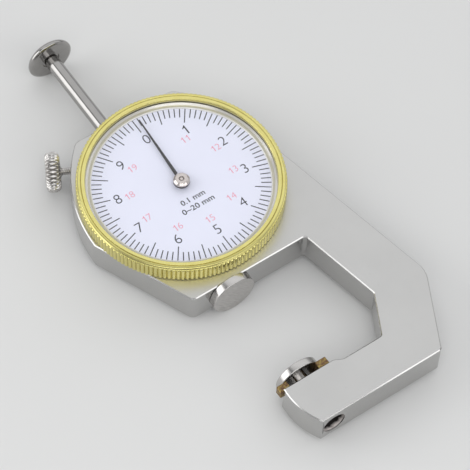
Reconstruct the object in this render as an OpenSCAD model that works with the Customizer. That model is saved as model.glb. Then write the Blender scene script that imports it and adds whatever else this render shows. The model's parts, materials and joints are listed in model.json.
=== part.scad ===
// Dial thickness gauge with a C-shaped frame, a lifting spindle and a rack-driven pointer.
// Millimetres. The dial axis is Z, the back of the frame is Z = 0, the spindle runs along Y,
// and the C opens to -X. Everything is drawn with the jaws fully open.

/* [Frame] */
// Thickness of the frame plate
plate_t = 7.2; // [6.8:0.1:9]
// Dial axis to the top edge of the body
body_top = 20.5; // [19.5:0.1:24]
// Dial axis to the lower edge of the body
body_drop = 21.8; // [20.8:0.1:26]
// Dial axis to the widest point of the body
body_half = 20.85; // [20:0.05:24]
// Height of the widest point of the body
waist_y = -1.4; // [-4:0.1:4]
// Radius of the curved flanks
flank_r = 29.75; // [26:0.05:36]
// Dial axis to the lower left corner of the body
toe_x = 11.85; // [10.5:0.05:14]
// Dial axis to the upper corner of the throat
throat_x = 13.95; // [10:0.05:18]
// Height of the slanted stretch of the spine
spine_drop = 17.4; // [12:0.1:20]
// Lean of that stretch, in degrees
spine_tilt = 11.7; // [0:0.1:20]
// Lean of the stretch below it, the other way, in degrees
bend_tilt = 27; // [10:0.1:40]
// Width of the spine
spine_w = 10.75; // [8:0.05:14]
// Height of the lower arm
arm_h = 8.6; // [7.5:0.1:12]
// Dial axis to the free end of the arm
arm_reach = 8.55; // [8:0.05:12]
// Radius of the rounded arm end
arm_end_r = 14.6; // [9:0.1:20]
// Step up of the arm under the anvil
pad_h = 0.9; // [0.3:0.1:2]
// Dial axis to the end of that step
pad_x = 2.75; // [2:0.05:6]
// Radius of the pocket for the movement
pocket_r = 15.8; // [14:0.1:17.5]
// Thickness of the pocket floor
floor_t = 1.2; // [1:0.1:1.6]

/* [Jaws] */
// Opening between the measuring faces
open_gap = 20.1; // [15:0.1:22]
// Diameter of the moving contact disc
contact_d = 9.2; // [6:0.1:12]
// Thickness of the contact disc
contact_t = 1.3; // [1:0.1:3]
// Gap between the lifted contact disc and the body
lift_gap = 0.4; // [0.1:0.05:1]
// Diameter of the fixed anvil disc
anvil_d = 9; // [6:0.1:12]
// Thickness of the anvil disc
anvil_t = 1.5; // [1:0.05:3]
// Diameter of the anvil stud
anvil_stud_d = 3; // [2.6:0.1:4]
// Length over both packing pieces under the anvil
shim_l = 11; // [9:0.1:13]
// Length of each packing piece
shim_end = 2.3; // [1.5:0.1:3]
// Thickness of the packing pieces
shim_t = 1.55; // [0.5:0.05:2.5]
// Width of the packing pieces across the arm
shim_w = 5; // [4.4:0.1:6.8]
// Diameter of the hole in the outer face of the arm
arm_hole_d = 4.8; // [4.6:0.1:5]
// Depth of that hole
arm_hole_l = 3.1; // [2:0.1:4]

/* [Spindle] */
// Diameter of the spindle
rod_d = 3; // [2.8:0.05:3.3]
// Dial axis to the spindle axis
rod_offset = 3.5; // [3.3:0.05:3.6]
// Length of spindle above the body
rod_exposed = 21.4; // [21:0.05:30]
// Diameter of the lifting cap
cap_d = 9.8; // [7:0.1:12]
// Thickness of the lifting cap
cap_t = 1.4; // [1.2:0.1:3]
// Outer diameter of the guide bushes
bush_d = 5; // [4.8:0.1:5.4]
// Running clearance of the spindle in its bushes
run_gap = 0.03; // [0.02:0.01:0.08]

/* [Movement] */
// Spindle travel for one turn of the pointer
turn_travel = 10; // [9.5:0.1:10.5]
// Teeth of the pinion
pinion_teeth = 16; // [15:1:18]
// Play between rack and pinion teeth
tooth_play = 0.06; // [0.04:0.01:0.1]
// Width of the rack strip
rack_w = 1.3; // [1:0.1:1.8]
// Depth of the rack strip in the spindle
rack_sink = 0.75; // [0.5:0.05:1]
// Diameter of the pinion arbor
arbor_d = 1; // [0.8:0.05:1.1]
// Thickness of the movement bridge
bridge_t = 1; // [0.8:0.1:1.2]
// Width of the bridge arms
bridge_w = 3.2; // [2.6:0.1:4]
// Diameter of the bridge pillars
pillar_d = 2.8; // [2.4:0.1:3.4]
// Wire of the return spring
spring_wire = 0.3; // [0.2:0.05:0.4]
// Outer diameter of the return spring
spring_d = 1.4; // [1.2:0.1:1.6]
// Turns of the return spring
spring_turns = 18; // [12:1:20]
// Diameter of the post that pulls the spring
post_d = 0.8; // [0.6:0.1:1]

/* [Dial and bezel] */
// Width of the ring that the bezel turns on, from the pocket outwards
seat_w = 3.74; // [3.2:0.02:4.4]
// Gap under the bezel
bezel_lift = 0.15; // [0.1:0.05:0.3]
// Height of the knurled band
knurl_h = 3.25; // [3.2:0.05:3.6]
// Depth of the knurl
knurl_depth = 0.25; // [0.15:0.05:0.3]
// Ridges round the bezel
knurl_n = 145; // [60:1:200]
// Wall between the bezel bore and the knurl tips
bezel_wall = 0.8; // [0.75:0.05:1]
// Width of the lip that holds the crystal in the bezel
lip_w = 1; // [0.7:0.05:1.5]
// Plate top to the printed face of the dial
dial_lift = 2.1; // [2:0.05:2.3]
// Thickness of the dial plate
dial_t = 0.4; // [0.3:0.05:0.5]
// Thickness of the crystal
crystal_t = 0.45; // [0.4:0.05:0.5]
// Rise of the crystal dome
dome_h = 1.45; // [1.4:0.05:2]
// Dial face to the top of the pointer hub
hub_rise = 1.9; // [1.6:0.05:1.9]
// Diameter of the pointer hub
hub_d = 3.3; // [2.8:0.1:4.5]
// Gap between the pointer's tip and the ring around the dial
pointer_gap = 0.9; // [0.3:0.05:4]
// Width of the pointer at the hub
pointer_w = 0.75; // [0.5:0.05:1.2]

/* [Lock screw] */
// Diameter of the knurled head
lock_head_d = 8; // [6:0.1:9]
// Thickness of the lock screw's head
lock_head_t = 3; // [1.5:0.05:4]
// Diameter of the screw
lock_d = 1.5; // [1.3:0.1:1.6]
// Dial axis to the middle of the head, along X
lock_x = 17.5; // [17:0.05:19]
// Dial axis to the middle of the head, along Y
lock_y = 19.05; // [18.5:0.05:20]
// Lean of the screw below the X direction, in degrees
lock_lean = 28; // [26:0.5:32]
// Ridges of its knurl
lock_knurl_n = 28; // [16:1:48]

/* [Hidden] */
$fn = 64;
eps = 0.01;
side_gap = 0.05;

// Spindle, jaws and arm along Y
rod_r = rod_d / 2;
rod_x = -rod_offset;
rod_z = plate_t / 2;
contact_back = -body_drop - lift_gap;
contact_face = contact_back - contact_t;
anvil_face = contact_face - open_gap;
anvil_back = anvil_face - anvil_t;
pad_y = anvil_back - shim_t;
arm_up = pad_y - pad_h;
arm_low = arm_up - arm_h;
cap_y = body_top + rod_exposed;
cap_recess = 0.3;
travel = open_gap - 0.01;

// Corners of the C
flank_x = flank_r - body_half;
pad_step = 2 * pad_h;
n_spine = [cos(spine_tilt), sin(spine_tilt)];
n_bend = [cos(bend_tilt), -sin(bend_tilt)];
throat = [throat_x, -body_drop];
knee = throat + spine_drop * [tan(spine_tilt), -1];
heel = [knee.x + (arm_up - knee.y) * tan(bend_tilt), arm_up];
outer_knee = meet(n_spine, n_spine * throat + spine_w, n_bend, n_bend * knee + spine_w);
outer_heel = meet(n_bend, n_bend * knee + spine_w, [0, 1], arm_low);
outer_top = meet(n_spine, n_spine * throat + spine_w, [0, 1], body_top);
corner_r = 0.8;
toe_r = 1.5;
shoulder_r = 2;
knee_r = 5.5;
arm_end_y = arm_low + 0.9 * arm_h;

// Rack and pinion
rack_pitch = turn_travel / pinion_teeth;
tooth_m = rack_pitch / PI;
pitch_r = turn_travel / (2 * PI);
pressure = 20;
addendum = 0.85 * tooth_m;
dedendum = 1.1 * tooth_m;
rack_base = rod_x + rod_r - rack_sink;
rack_tip = addendum - pitch_r;
rack_low = -2 * rack_pitch;
rack_top = ceil((travel + rack_pitch) / rack_pitch) * rack_pitch + 2 * rack_pitch;
pinion_h = rack_w + 0.7;
pinion_z = rod_z - pinion_h / 2;

// Levels of the movement
arbor_r = arbor_d / 2;
pivot_r = 0.7 * arbor_r;
pivot_bush_r = 1.15;
pivot_depth = floor_t - 0.5;
pivot_bush_top = floor_t + 0.25;
bridge_z = rod_z + rod_r + 0.25;
bridge_top = bridge_z + bridge_t;
pillars = pocket_r * [[0.42, 0.52], [0.42, -0.52], [0.71, 0]];
screw_r = 0.5;
screw_head_r = 1.1;
screw_head_t = 0.6;
spiral_z = bridge_top + 0.35;
spiral_h = 0.45;
spiral_in = 1.55;
spiral_out = 4.7;
spiral_turns = 5;
spiral_t = 0.12;
collet_r = 1.2;
stud_r = 0.4;

// Inner ends of the guide bushes, above the lock screw and at the pocket wall
bush_side = rod_offset + bush_d / 2;
lock_bore = lock_d / 2 + side_gap;
upper_in = lock_y - (lock_x - bush_side) * tan(lock_lean) + lock_bore / cos(lock_lean) + 0.8;
lower_in = -sqrt(pow(pocket_r, 2) - pow(bush_side, 2));

// Return spring beside the spindle, above the lock screw
spring_x = rod_x - rod_r - 0.95;
spring_z = rod_z + 2.1;
spring_reach = sqrt(pow(pocket_r, 2) - pow(spring_x, 2));
spring_top_y = min(upper_in, spring_reach) - 1.84;
anchor_r = 0.55;
anchor_gap = 0.89;
anchor_y = anchor_r + anchor_gap - spring_reach;
coil_r = (spring_d - spring_wire) / 2;
post_lean = atan2(spring_z - rod_z, rod_x - spring_x);
post_out = norm([spring_z - rod_z, rod_x - spring_x]) + 0.6;

// Dial, bezel and the ring that the bezel turns on
dial_z = plate_t + dial_lift;
seat_r = pocket_r + seat_w;
bezel_bore = seat_r + 0.06;
bezel_r = bezel_bore + bezel_wall;
bezel_z = plate_t + bezel_lift;
bezel_top = bezel_z + knurl_h + 0.45;
window_r = bezel_bore - lip_w;
lip_t = 0.65;
lip_z = bezel_top - lip_t;
inset_r = bezel_bore - side_gap;
rehaut_w = 2.15 * lip_w;
rehaut_step = 0.3 * lip_w;
crystal_z = lip_z - crystal_t;
seat_top = dial_z - dial_t - 0.55;
clip_wire = 0.5;
clip_z = (plate_t + seat_top) / 2;
clip_groove = 0.6;
seat_bolt_r = pocket_r + 0.45 * seat_w;
seat_grip = 1.8;
seat_bolts = [30, 150, 290];
clip_top = dial_z - dial_t;

// Pointer
hand_t = 0.2;
hub_top = dial_z + hub_rise;
hub_h = 1.15;
hand_z = hub_top - hub_h - hand_t;
reading = 360 * ((open_gap / turn_travel) % 1);
pointer_l = inset_r - rehaut_w - pointer_gap;

// Lock screw
lock_r = lock_d / 2;
lock_tip_r = 0.5;
lock_dir = [cos(lock_lean), -sin(lock_lean)];
lock_tip_x = rod_x - rod_r - 0.15 - lock_tip_r * sin(lock_lean);
lock_len = (lock_tip_x + lock_x) / cos(lock_lean);
lock_tip_l = 3.2;

// Point where two lines meet, each given by its normal and its distance from the origin
function meet(n1, d1, n2, d2) =
    [d1 * n2.y - d2 * n1.y, n1.x * d2 - n2.x * d1] / (n1.x * n2.y - n2.x * n1.y);
function unit(v) = v / norm(v);
// Points of a corner at b between a and c, rounded to radius r
function corner(a, b, c, r, steps = 8) =
    let(
        u = unit(a - b),
        w = unit(c - b),
        half = acos(u * w) / 2,
        centre = b + unit(u + w) * r / sin(half),
        from = b + u * r / tan(half) - centre,
        to = b + w * r / tan(half) - centre,
        start = atan2(from.y, from.x),
        sweep = (atan2(to.y, to.x) - start + 540) % 360 - 180
    )
    [for (i = [0:steps]) centre + r * [cos(start + sweep * i / steps), sin(start + sweep * i / steps)]];
// Outline with each corner given as [x, y, radius]
function rounded(pts) =
    let(n = len(pts), p = [for (q = pts) [q.x, q.y]])
    [
        for (i = [0:n - 1])
            each pts[i][2] == 0 ? [p[i]] : corner(p[(i + n - 1) % n], p[i], p[(i + 1) % n], pts[i][2])
    ];
// Star outline of a straight knurl
function star(n, tip, root) =
    [for (i = [0:2 * n - 1]) let(r = i % 2 == 0 ? tip : root) r * [cos(180 * i / n), sin(180 * i / n)]];
// Half angle of an involute tooth at radius r
function involute(a) = tan(a) * 180 / PI - a;
function tooth_half(r, base) =
    90 / pinion_teeth - 90 * tooth_play / (PI * pitch_r) + involute(pressure) - involute(acos(base / r));
function pinion_outline(steps = 4) =
    let(
        base = pitch_r * cos(pressure),
        tip = pitch_r + addendum,
        root = pitch_r - dedendum,
        radii = [for (i = [0:steps]) base + (tip - base) * i / steps],
        flank = [for (r = radii) [r, tooth_half(r, base)]],
        foot = [[root, tooth_half(base, base)]],
        right = [for (q = concat(foot, flank)) [q.x, -q.y]],
        left = [for (i = [0:steps]) flank[steps - i]]
    )
    [
        for (k = [0:pinion_teeth - 1])
            each [
                for (q = concat(right, left, foot))
                    let(a = 180 + 360 * k / pinion_teeth + q.y) q.x * [cos(a), sin(a)]
            ]
    ];
// Outline of the rack strip in X and Y, with a gap between two teeth at Y = 0
function rack_outline() =
    let(
        teeth = round((rack_top - rack_low) / rack_pitch),
        half = rack_pitch / 4 - tooth_play / 4,
        tip = half - addendum * tan(pressure),
        foot = half + dedendum * tan(pressure),
        root_x = -pitch_r - dedendum
    )
    concat(
        [[rack_base, rack_low], [root_x, rack_low]],
        [
            for (k = [0:teeth - 1])
                let(y = rack_low + (k + 0.5) * rack_pitch)
                each [[root_x, y - foot], [rack_tip, y - tip], [rack_tip, y + tip], [root_x, y + foot]]
        ],
        [[root_x, rack_top], [rack_base, rack_top]]
    );
// Centre line of the return spring
spring_from = anchor_y + anchor_r + spring_wire;
spring_to = spring_top_y - post_d / 2 - spring_wire;
spring_steps = 8 * spring_turns;
spring_line = [
    for (i = [0:spring_steps])
        let(a = 45 * i)
        [
            spring_x + coil_r * cos(a),
            spring_from + (spring_to - spring_from) * i / spring_steps,
            spring_z + coil_r * sin(a)
        ]
];
spring_gap = min([for (i = [0:spring_steps - 8]) norm(spring_line[i + 8] - spring_line[i])]) - spring_wire;
echo(least_gap_between_spring_turns = spring_gap);

// Tube of 6 sides along a coil whose axis is parallel to Y
module coil_tube(line, axis_x, axis_z, wire) {
    sides = 6;
    rings = len(line);
    pts = [
        for (q = line)
            let(out = unit([q.x - axis_x, 0, q.z - axis_z]))
            for (k = [0:sides - 1])
                q + wire / 2 * (out * cos(60 * k) + [0, 1, 0] * sin(60 * k))
    ];
    walls = [
        for (i = [0:rings - 2])
            for (k = [0:sides - 1])
                let(a = i * sides + k, b = i * sides + (k + 1) % sides)
                each [[a, b, b + sides], [a, b + sides, a + sides]]
    ];
    last = (rings - 1) * sides;
    ends = [for (k = [1:sides - 2]) each [[0, k + 1, k], [last, last + k, last + k + 1]]];
    polyhedron(pts, concat(walls, ends));
}

// Cylinder along Y from one place to another
module along_y(r, from, to) {
    translate([rod_x, from, rod_z])
        rotate([-90, 0, 0])
            cylinder(r = r, h = to - from);
}

// Turned part along Y: the profile gives radius and place along Y
module turned_y(profile) {
    translate([rod_x, 0, rod_z])
        rotate([-90, 0, 0])
            rotate_extrude()
                polygon(profile);
}

// Places things along the lock screw, with Z along the screw into the body
module lock_axis() {
    translate([-lock_x, lock_y, rod_z])
        rotate([0, 90, -lock_lean])
            children();
}

// Waste outside the left flank arc and the rounded shoulder above it
module flank_cut() {
    side = flank_r - shoulder_r;
    waste = body_half / 4;
    up = body_top - shoulder_r - waist_y;
    shoulder = [flank_x - sqrt(pow(side, 2) - pow(up, 2)), body_top - shoulder_r];
    tangent_y = shoulder.y + shoulder_r * up / side;
    difference() {
        translate([-body_half - waste, waist_y, -1])
            cube([waste + body_half, body_top - waist_y + waste, plate_t + 2]);
        translate([flank_x, waist_y, -2])
            cylinder(r = flank_r, h = plate_t + 4, $fn = 180);
    }
    difference() {
        translate([-body_half - waste, tangent_y, -1])
            cube([waste + body_half + shoulder.x, body_top - tangent_y + waste, plate_t + 2]);
        translate([shoulder.x, shoulder.y, -2])
            cylinder(r = shoulder_r, h = plate_t + 4);
    }
}

module frame_blank() {
    difference() {
        linear_extrude(plate_t)
            polygon(rounded([
                [-body_half, body_top, 0],
                [-body_half, waist_y, 0],
                [-toe_x, -body_drop, toe_r],
                [throat.x, throat.y, corner_r],
                [knee.x, knee.y, corner_r],
                [heel.x, heel.y, corner_r],
                [pad_x + pad_step, arm_up, corner_r],
                [pad_x, pad_y, corner_r],
                [-arm_reach, pad_y, 0],
                [-arm_reach, arm_low, 0],
                [outer_heel.x, outer_heel.y, corner_r],
                [outer_knee.x, outer_knee.y, knee_r],
                [outer_top.x, outer_top.y, 0]
            ]));
        flank_cut();
        mirror([1, 0, 0])
            flank_cut();
        difference() {
            translate([-arm_reach - 1, arm_low - 1, -1])
                cube([arm_reach + 1 + rod_x, pad_y - arm_low + 2, plate_t + 2]);
            translate([arm_end_r - arm_reach, arm_end_y, -2])
                cylinder(r = arm_end_r, h = plate_t + 4, $fn = 128);
        }
    }
}

module frame() {
    color("silver")
        difference() {
            frame_blank();
            translate([0, 0, floor_t])
                cylinder(r = pocket_r, h = plate_t);
            along_y(bush_d / 2, -body_drop - 1, body_top + 1);
            along_y(anvil_stud_d / 2 + side_gap / 2, arm_low, pad_y + 1);
            along_y(arm_hole_d / 2, arm_low - 1, arm_low + arm_hole_l);
            along_y(arm_hole_d / 2 - 0.2, arm_low, arm_low + arm_hole_l + anvil_head_t);
            lock_axis()
                cylinder(r = lock_r + side_gap, h = lock_len);
            translate([0, 0, floor_t - pivot_depth])
                cylinder(r = pivot_bush_r, h = floor_t);
            translate([spring_x, anchor_y, floor_t - pivot_depth])
                cylinder(r = anchor_r, h = floor_t);
            for (p = pillars)
                translate([p.x, p.y, floor_t - pivot_depth])
                    cylinder(r = screw_r + side_gap / 2, h = floor_t);
            for (a = seat_bolts)
                rotate(a)
                    translate([seat_bolt_r, 0, plate_t - seat_grip - 0.2])
                        cylinder(r = screw_r + side_gap / 2, h = seat_grip + 1);
        }
}

// Guide bush with a keyway for the rack strip
module guide_bush(from, to) {
    color("darkgoldenrod")
        difference() {
            along_y(bush_d / 2, from, to);
            along_y(rod_r + run_gap, from - 1, to + 1);
            translate([rod_x, from - 1, rod_z - rack_w / 2 - side_gap])
                cube([rack_tip + 2 * side_gap - rod_x, to - from + 2, rack_w + 2 * side_gap]);
        }
}
module upper_guide_bush() {
    guide_bush(upper_in, body_top);
}
module lower_guide_bush() {
    guide_bush(-body_drop, lower_in);
}

// Anvil disc with the stud that goes between the packing pieces into the arm
anvil_head_t = 1.5;
anvil_screw_r = 0.9;
stud_end = arm_low + arm_hole_l + anvil_head_t + 0.2;
module anvil() {
    r = anvil_d / 2;
    edge = 0.15;
    color("gainsboro")
        difference() {
            turned_y([
                [0, stud_end],
                [anvil_stud_d / 2, stud_end],
                [anvil_stud_d / 2, anvil_back],
                [r - edge, anvil_back],
                [r, anvil_back + edge],
                [r, anvil_face - edge],
                [r - edge, anvil_face],
                [0, anvil_face]
            ]);
            along_y(anvil_screw_r + side_gap / 2, stud_end - 1, anvil_back - 1);
        }
}

// Two packing pieces beside the stud, clamped between the anvil disc and the arm
module anvil_shim() {
    color("goldenrod")
        for (side = [-1, 1])
            translate([rod_x + side * (shim_l - shim_end) / 2 - shim_end / 2, pad_y, rod_z - shim_w / 2])
                cube([shim_end, shim_t, shim_w]);
}

// Slotted screw that pulls the anvil stud into the arm
module anvil_screw() {
    seat = arm_low + arm_hole_l + anvil_head_t;
    slot_w = 0.6;
    slot_t = 0.6;
    color("darkgray")
        difference() {
            turned_y([
                [0, seat - anvil_head_t],
                [arm_hole_d / 2 - 0.3, seat - anvil_head_t],
                [arm_hole_d / 2 - 0.3, seat],
                [anvil_screw_r, seat],
                [anvil_screw_r, anvil_back - 1.5],
                [0, anvil_back - 1.5]
            ]);
            translate([rod_x - slot_w / 2, seat - anvil_head_t - 1, rod_z - arm_hole_d])
                cube([slot_w, slot_t + 1, 2 * arm_hole_d]);
        }
}

module movement_bridge() {
    color("khaki")
        difference() {
            translate([0, 0, bridge_z])
                linear_extrude(bridge_t)
                    union() {
                        circle(r = bridge_w / 2);
                        for (p = pillars) {
                            translate(p)
                                circle(r = bridge_w / 2);
                            rotate(atan2(p.y, p.x))
                                translate([0, -bridge_w / 2])
                                    square([norm(p), bridge_w]);
                        }
                    }
            translate([0, 0, bridge_z - 1])
                cylinder(r = pivot_bush_r, h = bridge_t + 2);
            for (p = pillars)
                translate([p.x, p.y, bridge_z - 1])
                    cylinder(r = screw_r + side_gap / 2, h = bridge_t + 2);
            rotate(atan2(pillars[2].y, pillars[2].x))
                translate([spiral_out, 0, bridge_z - 1])
                    cylinder(r = stud_r, h = bridge_t + 2);
        }
}

module bridge_pillars() {
    color("khaki")
        for (p = pillars)
            translate([p.x, p.y, floor_t])
                difference() {
                    cylinder(r = pillar_d / 2, h = bridge_z - floor_t);
                    translate([0, 0, -1])
                        cylinder(r = screw_r + side_gap / 2, h = bridge_z + 2);
                }
}

// Cheese-head screw standing on its head's seat at Z = 0
module cheese_screw(shank) {
    difference() {
        union() {
            cylinder(r = screw_head_r, h = screw_head_t);
            translate([0, 0, -shank])
                cylinder(r = screw_r, h = shank + eps);
        }
        translate([-screw_head_r - 1, -0.15, screw_head_t / 2])
            cube([2 * screw_head_r + 2, 0.3, screw_head_t]);
    }
}

module bridge_screws() {
    color("lightsteelblue")
        for (p = pillars)
            translate([p.x, p.y, bridge_top])
                cheese_screw(bridge_top - floor_t + pivot_depth - 0.1);
}

module upper_pivot_bush() {
    color("darkgoldenrod")
        translate([0, 0, bridge_z])
            difference() {
                cylinder(r = pivot_bush_r, h = bridge_t);
                translate([0, 0, -1])
                    cylinder(r = arbor_r + run_gap, h = bridge_t + 2);
            }
}

module lower_pivot_bush() {
    low = floor_t - pivot_depth;
    color("darkgoldenrod")
        difference() {
            translate([0, 0, low])
                cylinder(r = pivot_bush_r, h = pivot_bush_top - low);
            translate([0, 0, low + 0.2])
                cylinder(r = pivot_r + run_gap, h = pivot_bush_top);
        }
}

// Flat spiral whose outer end is held by the stud
module hairspring() {
    steps = 24 * spiral_turns;
    mid = [
        for (i = [0:steps])
            [spiral_in + (spiral_out - stud_r - spiral_t - spiral_in) * i / steps, 15 * i]
    ];
    inner = [for (q = mid) (q.x - spiral_t / 2) * [cos(q.y), sin(q.y)]];
    outer = [for (i = [0:steps]) let(q = mid[steps - i]) (q.x + spiral_t / 2) * [cos(q.y), sin(q.y)]];
    color("steelblue")
        rotate(atan2(pillars[2].y, pillars[2].x))
            translate([0, 0, spiral_z])
                linear_extrude(spiral_h)
                    polygon(concat(inner, outer));
}

module hairspring_stud() {
    color("darkgoldenrod")
        rotate(atan2(pillars[2].y, pillars[2].x))
            translate([spiral_out, 0, bridge_z])
                cylinder(r = stud_r, h = spiral_z + spiral_h + 0.2 - bridge_z);
}

module return_spring() {
    color("slategray")
        coil_tube(spring_line, spring_x, spring_z, spring_wire);
}

module spring_anchor_post() {
    low = floor_t - pivot_depth;
    top = spring_z + spring_d / 2 + 0.2;
    neck = 0.15;
    color("darkgray")
        translate([spring_x, anchor_y, 0])
            rotate_extrude()
                polygon([
                    [0, low],
                    [anchor_r, low],
                    [anchor_r, spring_z - spring_wire],
                    [anchor_r - neck, spring_z - spring_wire],
                    [anchor_r - neck, spring_z + spring_wire],
                    [anchor_r, spring_z + spring_wire],
                    [anchor_r, top],
                    [0, top]
                ]);
}

// Ring on the front of the frame that centres the bezel
module dial_seat_ring() {
    groove_r = seat_r - 0.4;
    color("silver")
        difference() {
            rotate_extrude($fn = 128)
                polygon([
                    [pocket_r, plate_t],
                    [seat_r, plate_t],
                    [seat_r, clip_z - clip_groove / 2],
                    [groove_r, clip_z - clip_groove / 2],
                    [groove_r, clip_z + clip_groove / 2],
                    [seat_r, clip_z + clip_groove / 2],
                    [seat_r, seat_top],
                    [pocket_r, seat_top]
                ]);
            for (a = seat_bolts)
                rotate(a)
                    translate([seat_bolt_r, 0, plate_t - seat_grip]) {
                        cylinder(r = screw_r + side_gap / 2, h = 2 * seat_grip);
                        translate([0, 0, seat_grip + seat_top - plate_t - screw_head_t])
                            cylinder(r = screw_head_r + side_gap / 2, h = seat_grip);
                    }
        }
}

module seat_screws() {
    color("lightsteelblue")
        for (a = seat_bolts)
            rotate(a)
                translate([seat_bolt_r, 0, seat_top - screw_head_t])
                    cheese_screw(seat_top - screw_head_t - plate_t + seat_grip);
}

// Split wire ring that keeps the bezel on its seat
module bezel_clip() {
    color("slategray")
        rotate(200)
            rotate_extrude(angle = 350, $fn = 128)
                translate([seat_r - 0.05, clip_z])
                    circle(r = clip_wire / 2, $fn = 24);
}

module spindle_rod() {
    color("gainsboro")
        difference() {
            along_y(rod_r, contact_back, cap_y + cap_recess);
            translate([rack_base, rack_low, rod_z - rack_w / 2])
                cube([rod_d, rack_top - rack_low, rack_w]);
            translate([rod_x, spring_top_y, rod_z])
                rotate([0, post_lean - 90, 0])
                    cylinder(r = post_d / 2, h = rod_d);
        }
}

module rack_strip() {
    color("lightgray")
        translate([0, 0, rod_z - rack_w / 2])
            linear_extrude(rack_w)
                polygon(rack_outline());
}

// Cap with a rounded rim and a recess around the spindle
module lifting_cap() {
    r = cap_d / 2;
    low = 0.3;
    edge = 0.6;
    high = cap_y + cap_t;
    color("gainsboro")
        difference() {
            turned_y(concat(
                [[0, cap_y], [r - low, cap_y]],
                [for (a = [-75:15:0]) [r - low + low * cos(a), cap_y + low + low * sin(a)]],
                [for (a = [0:15:75]) [r - edge + edge * cos(a), high - edge + edge * sin(a)]],
                [[r - edge, high], [0, high]]
            ));
            along_y(rod_r + cap_recess, cap_y - 1, cap_y + cap_recess);
        }
}

module contact_disc() {
    r = contact_d / 2;
    edge = 0.15;
    color("gainsboro")
        turned_y([
            [0, contact_face],
            [r - edge, contact_face],
            [r, contact_face + edge],
            [r, contact_back - 2 * edge],
            [r - 2 * edge, contact_back],
            [0, contact_back]
        ]);
}

module spring_post() {
    color("darkgray")
        translate([rod_x, spring_top_y, rod_z])
            rotate([0, post_lean - 90, 0])
                cylinder(r = post_d / 2, h = post_out);
}

module pinion_arbor() {
    low = floor_t - pivot_depth + 0.25;
    step = pivot_bush_top + 0.05;
    color("gold")
        union() {
            translate([0, 0, low])
                cylinder(r = pivot_r, h = step - low + eps);
            translate([0, 0, step])
                cylinder(r = arbor_r, h = hub_top - 0.25 - step);
            translate([0, 0, pinion_z])
                linear_extrude(pinion_h)
                    polygon(pinion_outline());
        }
}

module hairspring_collet() {
    color("darkgoldenrod")
        translate([0, 0, spiral_z - 0.15])
            difference() {
                cylinder(r = collet_r, h = spiral_h + 0.3);
                translate([0, 0, -1])
                    cylinder(r = arbor_r, h = spiral_h + 3);
            }
}

// Polished hub with a rounded top edge and a dimple
module pointer_hub() {
    r = hub_d / 2;
    edge = 0.35;
    low = hand_z - 0.35;
    color("gainsboro")
        difference() {
            rotate_extrude()
                polygon(concat(
                    [[arbor_r, low], [r / 2, low], [r / 2, hand_z + hand_t], [r, hand_z + hand_t]],
                    [for (a = [0:15:90]) [r - edge + edge * cos(a), hub_top - edge + edge * sin(a)]],
                    [[0, hub_top], [0, hub_top - 0.25], [arbor_r, hub_top - 0.25]]
                ));
            translate([0, 0, hub_top - 0.08])
                cylinder(r = arbor_r, h = 1);
        }
}

// Tapered hand with a ring under the hub
module pointer_hand() {
    ring = 0.8 * hub_d / 2;
    tip_w = 0.22;
    color("dimgray")
        rotate(-reading)
            translate([0, 0, hand_z])
                linear_extrude(hand_t)
                    difference() {
                        union() {
                            circle(r = ring);
                            polygon([
                                [-pointer_w / 2, 0],
                                [pointer_w / 2, 0],
                                [tip_w / 2, pointer_l],
                                [-tip_w / 2, pointer_l]
                            ]);
                        }
                        circle(r = hub_d / 4);
                    }
}

// Brass bezel: knurled band, bevelled top with a thin groove, inner lip over the crystal
module bezel() {
    root = bezel_r - knurl_depth;
    band_top = bezel_z + knurl_h;
    groove_z = clip_groove / 2 + 0.05;
    land_r = root - 0.85;
    color("gold")
        union() {
            translate([0, 0, bezel_z])
                linear_extrude(knurl_h)
                    difference() {
                        polygon(star(knurl_n, bezel_r, root));
                        circle(r = root - 0.15, $fn = 180);
                    }
            rotate_extrude($fn = 180)
                polygon([
                    [bezel_bore, bezel_z],
                    [root - 0.05, bezel_z],
                    [root - 0.05, band_top],
                    [land_r + 0.65, bezel_top - 0.2],
                    [land_r + 0.15, bezel_top - 0.05],
                    [land_r + 0.1, bezel_top - 0.15],
                    [land_r + 0.05, bezel_top - 0.15],
                    [land_r, bezel_top],
                    [window_r, bezel_top],
                    [window_r, lip_z],
                    [bezel_bore, lip_z],
                    [bezel_bore, clip_z + groove_z],
                    [bezel_bore + 0.25, clip_z + groove_z],
                    [bezel_bore + 0.25, clip_z - groove_z],
                    [bezel_bore, clip_z - groove_z]
                ]);
        }
}

// Slightly domed crystal with a flat flange under the lip
module crystal() {
    foot = window_r - 0.15;
    dome_r = (pow(foot, 2) + pow(dome_h, 2)) / (2 * dome_h);
    steps = 8;
    top = [for (i = [steps:-1:0]) foot * i / steps];
    function rise(r) = sqrt(pow(dome_r, 2) - pow(r, 2)) - dome_r + dome_h;
    color("white", 0.3)
        rotate_extrude($fn = 128)
            polygon(concat(
                [[inset_r, crystal_z], [inset_r, lip_z]],
                [for (r = top) [r, lip_z + rise(r)]],
                [for (i = [0:steps]) [foot * i / steps, crystal_z + rise(foot * i / steps)]]
            ));
}

// Sloping ring between the dial and the crystal
module rehaut_ring() {
    inner = inset_r - rehaut_w;
    ledge = dial_z + rehaut_step;
    edge = 0.08;
    color("lightgray")
        rotate_extrude($fn = 128)
            polygon([
                [inner, dial_z],
                [inset_r, dial_z],
                [inset_r, crystal_z],
                [window_r - 0.1, crystal_z],
                [window_r - 0.1 - (crystal_z - ledge) * 1.6, ledge],
                [inner + edge, ledge],
                [inner, ledge - edge]
            ]);
}

module dial_plate() {
    color("whitesmoke")
        translate([0, 0, dial_z - dial_t])
            difference() {
                cylinder(r = inset_r, h = dial_t, $fn = 128);
                translate([0, 0, -1])
                    cylinder(r = hub_d / 4 + 0.3, h = 2);
            }
}

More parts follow.
